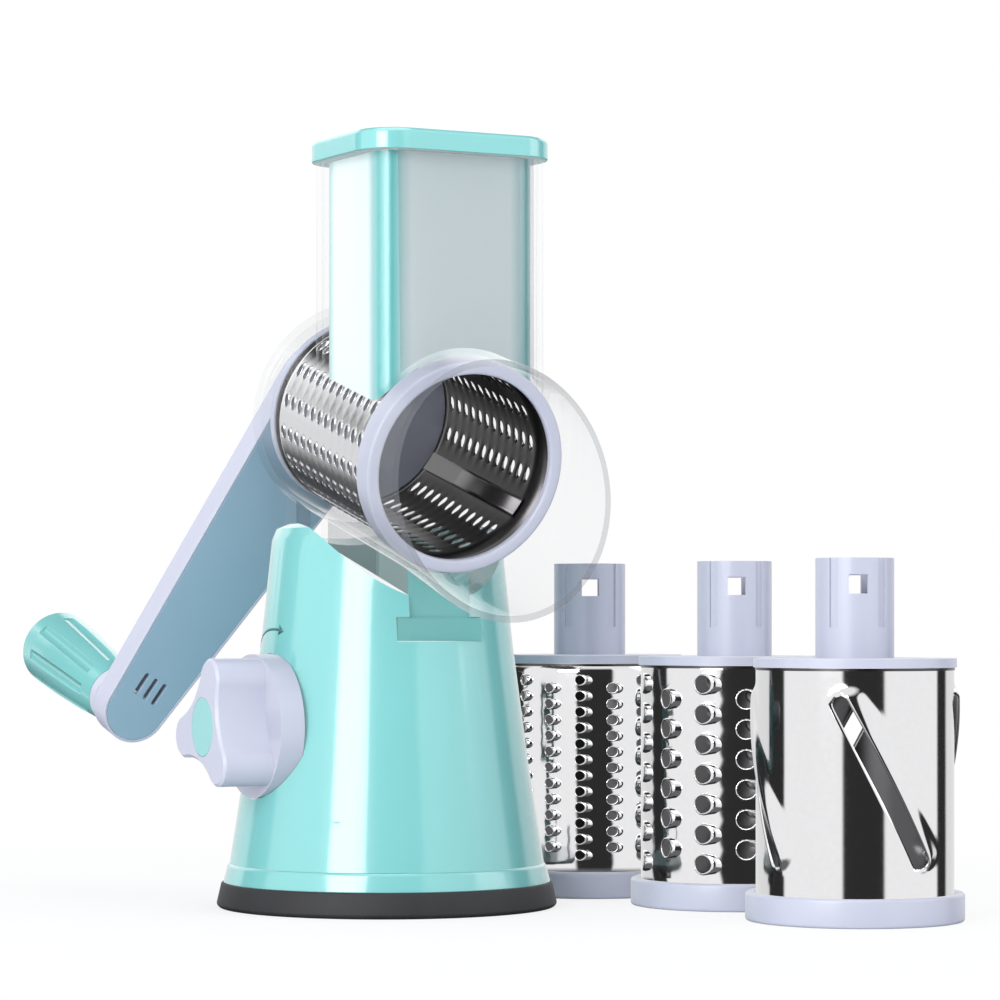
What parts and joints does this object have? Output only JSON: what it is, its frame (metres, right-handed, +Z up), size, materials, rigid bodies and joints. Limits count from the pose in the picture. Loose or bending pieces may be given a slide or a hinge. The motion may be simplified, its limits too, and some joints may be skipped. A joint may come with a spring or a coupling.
{
  "type": "rotary cabbage shredder",
  "caption": "Hand cranked rotary shredder: a column on a suction foot holds a clear feed housing with a sloping drum, a pusher, and spare drums beside it.",
  "frame": {"origin": "centre of the suction foot's flat underside, on the surface that the tool stands on", "axes": "+Z up; the drum's mouth faces -Y; the crank is at the +Y rear and the lock knob on the -X side"},
  "size_m": [0.2892, 0.3966, 0.3321],
  "materials": {
    "rubber": "matt black suction rubber",
    "mint": "glossy mint green plastic",
    "lavender": "satin pale lavender plastic",
    "clear": "clear polished plastic",
    "steel": "polished stainless steel sheet",
    "screw_steel": "zinc plated steel",
    "inlay": "satin grey blue plastic",
    "frame_plastic": "plain white plastic inside the column"
  },
  "bodies": {
    "base": {"suction_foot": "rubber", "base_ring": "mint", "base_column": "mint", "base_plate": "frame_plastic", "base_screws": "screw_steel", "feed_housing": "clear"},
    "rotor": {"shredder_drum_shell": "steel", "shredder_drum_ring": "lavender", "shredder_drum_cap": "lavender", "crank_arm": "lavender", "crank_inlay": "inlay", "crank_catch": "mint", "grip_pin": "screw_steel", "grip_collar": "lavender"},
    "grip": {"grip_body": "mint", "grip_end_cap": "mint"},
    "pusher": {"pusher_body": "mint", "pusher_cap": "mint"},
    "knob": {"lock_knob": "lavender", "knob_insert": "mint", "cam_shaft": "frame_plastic", "knob_screw": "screw_steel"},
    "stem": {"lift_stem": "frame_plastic"},
    "grater_drum": {"grater_drum_shell": "steel", "grater_drum_ring": "lavender", "grater_drum_cap": "lavender"},
    "coarse_drum": {"coarse_drum_shell": "steel", "coarse_drum_ring": "lavender", "coarse_drum_cap": "lavender"},
    "slicer_drum": {"slicer_drum_shell": "steel", "slicer_drum_ring": "lavender", "slicer_drum_cap": "lavender"}
  },
  "joints": [
    {"name": "crank_turn", "type": "hinge", "parent": "base", "child": "rotor", "pos_m": [0, -0.076, 0.19], "axis": [0, 0.9632, 0.2689], "continuous": true},
    {"name": "grip_spin", "type": "hinge", "parent": "rotor", "child": "grip", "pos_m": [-0.08451, 0.0996, 0.08948], "axis": [0, 0.9632, 0.2689], "continuous": true},
    {"name": "pusher_slide", "type": "slide", "parent": "base", "child": "pusher", "axis": [0, 0, 1], "range_m": [0, 0.14]},
    {"name": "knob_turn", "type": "hinge", "parent": "base", "child": "knob", "pos_m": [0, 0, 0.08], "axis": [1, 0, 0], "range_deg": [0, 90]},
    {"name": "stem_lift", "type": "slide", "parent": "base", "child": "stem", "axis": [0, 0, 1], "range_m": [0, 0.004]},
    {"name": "grater_lift_off", "type": "slide", "parent": "base", "child": "grater_drum", "axis": [0, 0, 1], "range_m": [0, 0.12]},
    {"name": "coarse_lift_off", "type": "slide", "parent": "base", "child": "coarse_drum", "axis": [0, 0, 1], "range_m": [0, 0.15]},
    {"name": "slicer_lift_off", "type": "slide", "parent": "base", "child": "slicer_drum", "axis": [0, 0, 1], "range_m": [0, 0.15]}
  ],
  "couplings": [
    {"joint": "knob_turn", "follows": "stem_lift", "rad_per_m": 392.7}
  ]
}
